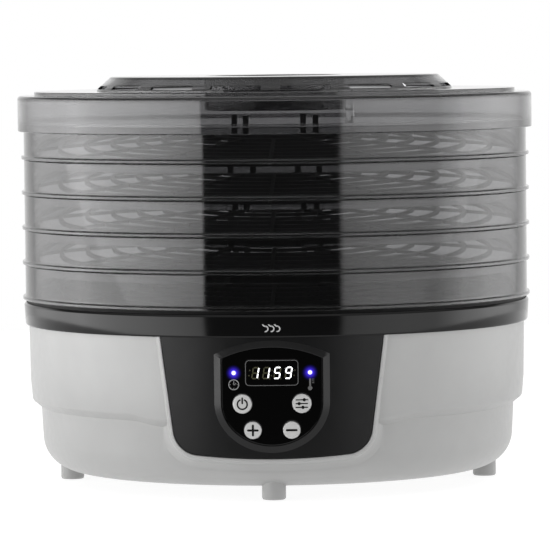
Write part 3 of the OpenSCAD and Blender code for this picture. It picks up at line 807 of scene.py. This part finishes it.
def make_housing():
    skin = lathe(housing_outline())
    dip_step(skin)
    skin = boolean(skin, prism(fascia_outline(0.15, BASE_TOP + 1), -80, -200), "DIFFERENCE")
    cuts = []
    for a in range(INTAKES):
        cuts.append(moved(block((20, -1.6, 2), (50, 1.6, 14), 1.2), turned(a * 360 / INTAKES)))
    cuts += [around(tube(4.2, 0, 2, 30, 0), SCREW_CIRCLE, 45 + 90 * a) for a in range(4)]
    cuts += [around(tube(4.1, 0, -1, 16, 0), FOOT_CIRCLE, 90 * a) for a in range(4)]
    cuts.append(moved(tube(7.1, 0, 130, 170, 0), turned(-90, "X"), shift(0, 0, GLAND_Z)))
    skin = boolean(skin, together(*cuts), "DIFFERENCE")
    posts = [around(tube(6, 1.8, BASE_LOW + 6.5, 31), SCREW_CIRCLE, 45 + 90 * a) for a in range(4)]
    skin = together(boolean(skin, fascia_frame(), "UNION"), *posts)
    piece("housing_shell", skin, "housing", "base_unit", ["base_housing"], 26.0)


def make_feet():
    """Round legs: a barrel with a softened foot ring and a plug into the housing."""
    for turn, side in enumerate(("front", "right", "back", "left")):
        barrel = lathe(rounded([
            (0, 1.0), (4.4, 1.0, 0.4), (5.0, 0, 0.4), (FOOT_R - 0.5, 0, 0.6), (FOOT_R, 1.2, 0.4),
            (FOOT_R, 13.6, 0.3), (4.0, 13.6, 0.2), (4.0, 14.6, 0.3), (0, 14.6),
        ]), 64)
        around(barrel, FOOT_CIRCLE, 90 * turn)
        piece(f"leg_{side}", barrel, "leg", "base_unit", [f"foot_{side}"])


def make_band():
    outline = rounded([
        (BAND_IN, BASE_TOP), (BAND_R - 1.1, BASE_TOP, 0.3), (BAND_R - 0.7, BASE_TOP + 0.9, 0.5),
        (BAND_R, BAND_TOP - 1.6, 1.0), (BAND_R - 0.9, BAND_TOP, 0.5), (BAND_IN, BAND_TOP),
    ])
    piece("trim_ring", lathe(outline), "band", "base_unit", ["trim_band"])


MARK_Z = 108.5


def make_band_mark():
    """Three rising waves, printed on the band."""
    waves = []
    r = 1.6
    for x in (-3.6, 0.0, 3.6):
        waves.append([bent_stroke(x, MARK_Z - r, r, 0.8, -90, 90, 12)])
        waves.append([bent_stroke(x, MARK_Z + r, r, 0.8, 90, 270, 12)])
    prints("warm_air_mark", waves, BAND_R - 0.32, "silver_print", "base_unit")


# ------------------------------------------------------------------ control panel


def make_fascia():
    edge = [(0.5, 0), (0.2, -0.08), (0.05, -0.25), (0, -0.5), (0, -FASCIA_T)]
    face = plate([fascia_outline, lambda m: panel_outline(m - 1.5)], edge, FASCIA_R)
    post_x = 34.5
    back = on_front(post_x, FASCIA_R - FASCIA_T) + 0.1
    posts = []
    for x in (-post_x, post_x):
        for z in (38, 88):
            posts.append(moved(tube(3.2, 1.1, back, BOARD_Y), turned(-90, "X"), shift(x, 0, z)))
    piece("fascia", together(face, *posts), "fascia", "base_unit", ["control_fascia"])


def make_bezel():
    """Raised ring round the overlay. Its face slopes outwards and down to the fascia."""
    w = BEZEL_W
    rise = BEZEL_R - FASCIA_R
    section = [
        (-w + 0.4, 0.25), (-w + 0.1, 0.16), (-w, 0.0), (0, 0.0), (0, rise - 0.45), (-0.12, rise - 0.12),
        (-0.4, rise),
    ]
    bm = bmesh.new()
    loops = []
    for inset, h in section:
        loops.append([bm.verts.new((x, -h, z)) for x, z in panel_outline(-inset)])
    join_loops(bm, loops + loops[:1])
    for v in bm.verts:
        v.co.y = on_front(v.co.x, FASCIA_R - v.co.y)
    piece("bezel", bm, "bezel", "base_unit", ["bezel_ring"], 19.0)


# Middle (x, z) and diameter of each key.
KEYS = {
    "power": (-18.1, 61.2, 11.7),
    "menu": (18.1, 61.2, 11.7),
    "plus": (-11.8, 45.1, 10.6),
    "minus": (11.8, 45.1, 10.6),
}


def make_overlay():
    holes = [circle_outline(x, z, d / 2 + 0.3, 64) for x, z, d in KEYS.values()]
    holes += [circle_outline(x, LAMP_Z, 1.7, 32) for x in (-LAMP_X, LAMP_X)]
    holes.append(rectangle_outline(0, LAMP_Z, WINDOW_W + 0.2, WINDOW_H + 0.2, WINDOW_ROUND))
    edge = [(0.3, 0), (0.1, -0.05), (0.02, -0.15), (0, -0.3), (0, -2.2)]
    face = plate([lambda m: panel_outline(m - 0.1)] + holes, edge, OVERLAY_R)
    piece("overlay", face, "overlay", "base_unit", ["control_overlay"])
    outline = rectangle_outline(0, LAMP_Z, WINDOW_W, WINDOW_H, WINDOW_ROUND)
    edge = [(0.25, 0), (0.08, -0.05), (0.02, -0.12), (0, -0.25), (0, -2.3)]
    pane = plate([outline], edge, OVERLAY_R)
    piece("window_pane", pane, "window", "base_unit", ["display_window"])
    rim = [[outline(-0.1), outline(-0.5)]]
    prints("window_outline", rim, OVERLAY_R, "dim_print", "base_unit")


def make_keys():
    """Round caps, each with a flange behind the overlay and a stem to its switch."""
    edge = [(0.9, 0.0), (0.5, -0.06), (0.2, -0.22), (0.05, -0.5), (0, -0.9), (0, -3.6)]
    stem_end = BOARD_Y - 5.05
    for name, (x, z, d) in KEYS.items():
        cap = plate([circle_outline(x, z, d / 2, 72)], edge, OVERLAY_R + KEY_PROUD)
        shoulder = on_front(abs(x) + d / 2 + 1, OVERLAY_R - 2.3) + 0.8
        flange = moved(tube(d / 2 + 0.9, 0, 0, 0.8, 0.2), turned(-90, "X"), shift(x, shoulder - 0.6, z))
        stem = moved(tube(1.6, 0, 0, stem_end - shoulder, 0.2), turned(-90, "X"), shift(x, shoulder, z))
        whole = together(cap, flange, stem)
        piece(f"key_{name}", whole, "key", f"{name}_key", [f"button_{name}"])


def make_key_marks():
    front = OVERLAY_R + KEY_PROUD
    x, z, _ = KEYS["power"]
    power = [[bent_stroke(x, z - 0.2, 3.0, 0.95, 118, 422)], [pill(x, z + 0.4, x, z + 3.6, 1.0)]]
    x, z, _ = KEYS["menu"]
    menu = []
    for row, knob in ((2.3, 1.5), (0.0, -1.6), (-2.3, 0.6)):
        menu.append([pill(x - 3.4, z + row, x + knob - 1.0, z + row, 0.72)])
        menu.append([pill(x + knob + 1.0, z + row, x + 3.4, z + row, 0.72)])
        menu.append([circle(x + knob, z + row, 1.0, 28)])
    x, z, _ = KEYS["plus"]
    plus = [[pill(x - 2.9, z, x + 2.9, z, 1.3)]]
    plus += [[pill(x, z + 0.62, x, z + 2.9, 1.3)], [pill(x, z - 2.9, x, z - 0.62, 1.3)]]
    x, z, _ = KEYS["minus"]
    minus = [[pill(x - 2.9, z, x + 2.9, z, 1.3)]]
    for name, shapes in (("power", power), ("menu", menu), ("plus", plus), ("minus", minus)):
        prints(f"mark_{name}", shapes, front, "ink", f"{name}_key")


# The digits lean by this much. DIGIT_W and DIGIT_H are half a digit's width and height.
SLANT = math.tan(math.radians(9.5))
DIGIT_W = 1.65
DIGIT_H = 3.3
SEGMENT_W = 0.8
SEGMENTS = {
    "a": (-1, 1, 1, 1), "g": (-1, 0, 1, 0), "d": (-1, -1, 1, -1),
    "f": (-1, 0, -1, 1), "b": (1, 0, 1, 1), "e": (-1, -1, -1, 0), "c": (1, -1, 1, 0),
}
# Place of each digit across the window, and the bars that are lit in it.
READING = ((-10.0, "bc"), (-3.4, "bc"), (3.4, "afgcd"), (10.2, "abcdfg"))


def segment(cx, way):
    """One bar of a seven-bar digit, with pointed ends, leaning to the right."""
    x0, z0, x1, z1 = [v * s for v, s in zip(way, (DIGIT_W, DIGIT_H, DIGIT_W, DIGIT_H))]
    w = SEGMENT_W / 2
    gap = 0.12
    if z0 == z1:
        x0, x1 = x0 + gap, x1 - gap
        points = [(x0, z0), (x0 + w, z0 - w), (x1 - w, z0 - w), (x1, z0), (x1 - w, z0 + w), (x0 + w, z0 + w)]
    else:
        z0, z1 = z0 + gap, z1 - gap
        points = [(x0, z0), (x0 + w, z0 + w), (x0 + w, z1 - w), (x0, z1), (x0 - w, z1 - w), (x0 - w, z0 + w)]
    return [(cx + x + z * SLANT, LAMP_Z + z) for x, z in points]


def make_display():
    lit, unlit = [], []
    for cx, bars in READING:
        for name, way in SEGMENTS.items():
            (lit if name in bars else unlit).append([segment(cx, way)])
    dots = [(x, z) for x in (-13.6, 0.0, 13.8) for z in (1.6, -1.6)]
    dots += [(x + 2.6, -3.5) for x, _ in READING[:3]]
    for x, z in dots:
        unlit.append([circle(x + z * SLANT, LAMP_Z + z, 0.4, 16)])
    prints("digits_lit", lit, OVERLAY_R, "digit", "base_unit")
    prints("digits_unlit", unlit, OVERLAY_R, "dim_digit", "base_unit")


def make_icons():
    """Clock under the left lamp and thermometer under the right one."""
    x, z = -LAMP_X, LAMP_Z - 7.1
    clock = [[circle(x, z, 3.3, 48), circle(x, z, 2.75, 48)]]
    clock += [[pill(x, z, x, z + 1.7, 0.4)], [pill(x, z - 0.1, x + 1.3, z + 0.8, 0.4)]]
    for k in range(4):
        dx, dz = math.cos(k * math.pi / 2), math.sin(k * math.pi / 2)
        clock.append([pill(x + 2.1 * dx, z + 2.1 * dz, x + 2.4 * dx, z + 2.4 * dz, 0.35)])
    x = LAMP_X
    gauge = [[pill(x, z - 1.2, x, z + 3.1, 1.1)], [circle(x, z - 2.4, 1.35, 48)]]
    gauge += [[pill(x + 1.3, z + h, x + 2.3, z + h, 0.4)] for h in (3.0, 1.9, 0.8)]
    prints("icon_clock", clock, OVERLAY_R, "grey_print", "base_unit")
    prints("icon_thermometer", gauge, OVERLAY_R, "dim_print", "base_unit")


def make_glow():
    """Light from each lamp that spreads inside the overlay's clear skin."""
    for name, x in (("left", -LAMP_X), ("right", LAMP_X)):
        outlines = [circle_outline(x, LAMP_Z, 5.6, 64), circle_outline(x, LAMP_Z, 1.72, 64)]
        skin = plate(outlines, [(0, 0.03), (0, -0.01)], OVERLAY_R)
        piece(f"lamp_glow_{name}", skin, f"glow_{name}", "base_unit")


# ------------------------------------------------------------------ trays


def floor_at(r):
    """Height of the grid's top over the tray's own level, at a radius."""
    return FLOOR_LOW + FLOOR_SLOPE * (SKIRT_IN - r)


def spoke_turns(r, count, half_width, between):
    """Angles of the edges of evenly spaced bars of constant width, with even steps between them."""
    pitch = 2 * math.pi / count
    half = math.asin(half_width / r)
    turns = []
    for k in range(count):
        turns.append(k * pitch - half)
        for i in range(between):
            turns.append(k * pitch + half + (pitch - 2 * half) * i / between)
    return turns


def polar_shell(stations, turns_at, is_open, closed_ends=True):
    """A shell between paired outer and inner points, with cells left out where is_open says so."""
    bm = bmesh.new()
    skins = ([], [])
    for k, pair in enumerate(stations):
        turns = turns_at(k)
        for skin, (r, z) in zip(skins, pair):
            skin.append([bm.verts.new((r * math.cos(a), r * math.sin(a), z)) for a in turns])
    cells = len(turns_at(0))
    rows = len(stations) - 1
    solid = [[not is_open(k, j) for j in range(cells)] for k in range(rows)]
    outer, inner = skins
    for k in range(rows):
        for j in range(cells):
            n = (j + 1) % cells
            if not solid[k][j]:
                continue
            bm.faces.new((outer[k][j], outer[k][n], outer[k + 1][n], outer[k + 1][j]))
            bm.faces.new((inner[k][j], inner[k + 1][j], inner[k + 1][n], inner[k][n]))
            if not solid[k][(j + 1) % cells]:
                bm.faces.new((outer[k][n], inner[k][n], inner[k + 1][n], outer[k + 1][n]))
            if not solid[k][j - 1]:
                bm.faces.new((outer[k][j], outer[k + 1][j], inner[k + 1][j], inner[k][j]))
            if (k == 0 and closed_ends) or (k > 0 and not solid[k - 1][j]):
                bm.faces.new((outer[k][j], inner[k][j], inner[k][n], outer[k][n]))
            if k == rows - 1 or not solid[k + 1][j]:
                bm.faces.new((outer[k + 1][j], outer[k + 1][n], inner[k + 1][n], inner[k + 1][j]))
    return bm


# Steps between two spokes.
ARC_STEPS = 15


def tray_grid():
    """Shallow domed floor: concentric bars crossed by spokes."""
    radii = [HUB_IN + 1]
    for r in GRID_RINGS:
        radii += [r - GRID_BAR / 2, r + GRID_BAR / 2]
    radii = [r for r in radii if r < SKIRT_IN] + [SKIRT_IN + 0.5]
    # The first bar reaches in to the hub.
    radii[1:3] = [GRID_RINGS[0] + GRID_BAR / 2]
    stations = [((r, floor_at(r)), (r, floor_at(r) - FLOOR_T)) for r in radii]

    def is_open(k, j):
        return k % 2 == 1 and k < len(radii) - 2 and j % (ARC_STEPS + 1) != 0
    return polar_shell(stations, lambda k: spoke_turns(radii[k], SPOKES, GRID_BAR / 2, ARC_STEPS), is_open)


def tray_wall():
    inner_r = TRAY_R - TRAY_WALL
    top = PITCH - RIM_GAP
    return lathe(rounded([
        (SKIRT_IN, -NEST, 0.4), (SKIRT_OUT, -NEST, 0.7), (SKIRT_OUT, 0, 0.2), (LIP_R, 0, 0.5),
        (LIP_R, LIP_H, 0.8), (TRAY_R, LIP_H, 0.3), (TRAY_R, top, 0.6), (inner_r, top, 0.5),
        (inner_r, 3, 0.8), (SKIRT_IN + 1, 1, 0.5), (SKIRT_IN, 0, 0.4),
    ]))


def make_trays():
    for i in range(1, TRAYS + 1):
        hub = tube(HUB_OUT, HUB_IN, floor_at(HUB_OUT) - FLOOR_T, floor_at(HUB_OUT) + 2, 0.4, 96)
        whole = boolean(tray_wall(), tray_grid(), "UNION")
        whole = boolean(whole, hub, "UNION")
        posts = []
        for k in range(4):
            post = tube(POST_R, 0, floor_at(HUB_OUT) - 0.5, POST_TOP, 0.4, 24)
            posts.append(around(post, (HUB_IN + HUB_OUT) / 2, k * 90 + POST_TURN * (1 + i % 2)))
        whole = boolean(whole, together(*posts), "UNION")
        # The grid, hub and posts take the opaque dark copy of the smoke plastic: painted shade.
        second_look(whole, lambda r, z: r < SKIRT_IN - 0.1)
        moved(whole, shift(0, 0, TRAY_Z[i - 1]))
        tray = piece(f"smoke_tray_{i}", whole, "smoke", f"tray_{i}_body", [f"tray_{i}"])
        tray.data.materials.append(LOOKS["smoke_grid_painted_dark"])


# ------------------------------------------------------------------ lid


LEDGE_IN = 158.6
LEDGE_T = 1.2
RIB_TURN = 17.4
RIB_HALF = 2.5
LID_KEYS = 8
KEY_DROP = 3.6


def make_lid_shell():
    """Cover with a raised disc, a ledge that sits on the top tray, a rib and keys that centre it."""
    top = LID_TOP
    ledge = LID_SEAT + LEDGE_T
    shell = lathe(rounded([
        (LID_IN, LID_LOW, 0.4), (LID_R, LID_LOW, 0.6), (LID_R, top, 2.2), (DISC_R, top, 0.5),
        (DISC_R, DISC_TOP, 0.6), (CROWN_HOLE_R, DISC_TOP, 0.3), (CROWN_HOLE_R, DISC_TOP - LID_T, 0.3),
        (DISC_R - LID_T, DISC_TOP - LID_T, 0.4), (DISC_R - LID_T, top - LID_T, 0.4),
        (LID_IN, top - LID_T, 1.2), (LID_IN, ledge, 0.3), (LEDGE_IN, ledge, 0.4), (LEDGE_IN, LID_SEAT, 0.4),
        (LID_IN, LID_SEAT, 0.2),
    ]))

    rib = block((-RIB_HALF, -0.3, LID_SEAT + 1), (RIB_HALF, 1.7, top - LID_T + 0.2), 0.35)
    ribs = [around(rib, LID_IN, RIB_TURN)]
    for k in range(LID_KEYS):
        key = block((-RIB_HALF, -0.3, LID_SEAT - KEY_DROP), (RIB_HALF, 1.7, LID_SEAT + 0.5), 0.35)
        ribs.append(around(key, LID_IN, RIB_TURN + k * 360 / LID_KEYS))
    for rib in ribs:
        shell = boolean(shell, rib, "UNION")
    # The rounded outer edge of the disc takes the near-black copy: a painted dark rim line.
    second_look(shell, lambda r, z: z > top - 2.1 and r > LID_R - 2.4)
    cover = piece("lid_cover", shell, "smoke_lid", "lid", ["lid_shell"])
    cover.data.materials.append(LOOKS["smoke_painted_dark_edge"])


SLOTS = 16
VENTS = 12
VENT_IN = 12
VENT_OUT = 36
LID_CELLS = 192


def make_crown():
    """Raised crown: air slots round its sloping foot, and a well with vents in its floor."""
    foot = DISC_TOP
    high_z = CROWN_TOP
    slope = (CROWN_FOOT_R - CROWN_R - 0.6) / (high_z - foot - 1.3)

    def side(z, inset=0.0):
        return (CROWN_FOOT_R - max(0.0, z - foot - 0.8) * slope - inset, z)
    t = 2.0
    wall = 2.4
    stations = [
        (side(foot), (CROWN_FOOT_R - 3.5, foot)),
        (side(foot + 0.8), (CROWN_FOOT_R - 3.6, foot + 0.4)),
        (side(foot + 1.2), side(foot + 1.2, wall)),
        (side(foot + 3.3), side(foot + 3.3, wall)),
        (side(high_z - 1.2), side(high_z - 2.6, wall)),
        (side(high_z - 0.5), side(high_z - 2.3, wall)),
        ((CROWN_R, high_z - 0.12), (CROWN_R - 1.4, high_z - 2.05)),
        ((CROWN_R - 0.8, high_z), (CROWN_R - 2.2, high_z - t)),
        ((80, high_z), (80, high_z - t)),
        ((WELL_R + 3.0, high_z), (WELL_R + 4.0, high_z - t)),
        ((WELL_R + 1.0, high_z), (WELL_R + t + 0.8, high_z - t)),
        ((WELL_R + 0.3, high_z - 0.3), (WELL_R + t + 0.2, high_z - t - 0.3)),
        ((WELL_R, high_z - 1.0), (WELL_R + t, high_z - t - 1.0)),
        ((WELL_R, WELL_FLOOR + 0.8), (WELL_R + t, WELL_FLOOR - t + 0.8)),
        ((WELL_R - 0.25, WELL_FLOOR + 0.2), (WELL_R + t - 0.6, WELL_FLOOR - t + 0.1)),
        ((WELL_R - 0.8, WELL_FLOOR), (WELL_R - 0.8, WELL_FLOOR - t)),
        ((VENT_OUT, WELL_FLOOR), (VENT_OUT, WELL_FLOOR - t)),
        ((VENT_IN, WELL_FLOOR), (VENT_IN, WELL_FLOOR - t)),
        ((4, WELL_FLOOR), (4, WELL_FLOOR - t)),
        ((0, WELL_FLOOR), (0, WELL_FLOOR - t)),
    ]
    # Rows between stations that are cut, and the last station that keeps the slots' angles.
    slot_row, vent_row, morph_from = 2, 16, 8
    slot_half = 8.15
    pitch = 360 / SLOTS
    slot_cells = 9
    bar_cells = LID_CELLS // SLOTS - slot_cells
    slot_turns = []
    for k in range(SLOTS):
        start = -90 + (k + 0.5) * pitch - slot_half
        slot_turns += [start + 2 * slot_half * i / slot_cells for i in range(slot_cells)]
        gap = pitch - 2 * slot_half
        slot_turns += [start + 2 * slot_half + gap * i / bar_cells for i in range(bar_cells)]
    slot_turns = [math.radians(a) for a in slot_turns]

    def turns_at(k):
        if k <= morph_from:
            return slot_turns
        r = min(max(stations[k][0][0], VENT_IN), VENT_OUT)
        turns = spoke_turns(r, VENTS, 1.6, LID_CELLS // VENTS - 1)
        return [a - math.pi / 2 + math.radians(0.5 * pitch - slot_half) for a in turns]

    def is_open(k, j):
        if k == slot_row:
            in_front = math.cos(math.radians((j // (LID_CELLS // SLOTS) + 0.5) * pitch)) > 0
            return in_front and j % (LID_CELLS // SLOTS) < slot_cells
        return k == vent_row and j % (LID_CELLS // VENTS) == 0
    crown = polar_shell(stations, turns_at, is_open)
    # The crown's rounded top edge takes the near-black copy: a painted dark rim line.
    second_look(crown, lambda r, z: z > high_z - 1.4 and r > CROWN_R - 1.0)
    dome = piece("lid_dome", crown, "smoke_crown", "lid", ["lid_crown"], 28.0)
    dome.data.materials.append(LOOKS["smoke_painted_dark_edge"])


# ------------------------------------------------------------------ carried-over CAD nodes

CAD_LOOKS = {
    "steel": ["housing_screws", "control_board_screws", "power_board_screws", "duct_screws",
              "motor_mount_screws", "motor_screws", "motor_shaft", "thermal_cutout"],
    "motor_can": ["motor"],
    "bronze": ["motor_bearings"],
    "deck": ["chamber_deck"],
    "guard": ["outlet_guard"],
    "insulation": ["mains_leads"],
    "dark": ["display_module", "tact_switches", "fan_duct", "motor_mount", "fan_rotor", "air_sensor",
             "filter_capacitor", "terminal_block"],
    "board": ["control_board", "power_board"],
    "ribbon": ["ribbon_cable"],
    "tape": ["transformer"],
    "blue": ["relay"],
    "mica": ["heater_frame"],
    "wire": ["heater_coil"],
    "led": ["status_leds"],
}


def dress_cad_nodes():
    for look, names in CAD_LOOKS.items():
        for name in names:
            mesh = nodes[name].data
            mesh.materials.clear()
            mesh.materials.append(LOOKS[look])


def make_gland():
    outline = rounded([
        (3.6, 143.4, 0.3), (7, 143.4, 0.4), (7, 151.4), (9, 151.4, 0.5), (9, 153.0, 0.6), (6.6, 154.4, 0.8),
        (4.4, 154.4, 0.4), (3.6, 153.8, 0.3),
    ])
    gland = moved(lathe(outline, 64), turned(-90, "X"), shift(0, 0, GLAND_Z))
    piece("lead_bushing", gland, "rubber", "base_unit", ["cord_gland"])


# ------------------------------------------------------------------ floor


def make_floor():
    """Pale table top. It is a disc, with its edge far behind the object."""
    bm = bmesh.new()
    count, radius, back = 96, 0.92, 0.5
    ring = [bm.verts.new((
        radius * math.cos(2 * math.pi * k / count),
        back + radius * math.sin(2 * math.pi * k / count),
        -0.0002)) for k in range(count)]
    bm.faces.new(ring)
    mesh = bpy.data.meshes.new("table_top")
    bm.to_mesh(mesh)
    bm.free()
    mesh.materials.append(LOOKS["table"])
    floor = bpy.data.objects.new("table_top", mesh)
    scene.collection.objects.link(floor)


make_camera()
make_world()
make_floor()
make_housing()
make_feet()
make_band()
make_band_mark()
make_fascia()
make_bezel()
make_overlay()
make_keys()
make_key_marks()
make_display()
make_icons()
make_glow()
make_trays()
make_lid_shell()
make_crown()
make_gland()
dress_cad_nodes()

scene.view_settings.view_transform = "Standard"
scene.cycles.max_bounces = 32
scene.cycles.transmission_bounces = 32
scene.cycles.transparent_max_bounces = 16
scene.cycles.caustics_refractive = True

bpy.context.view_layer.update()
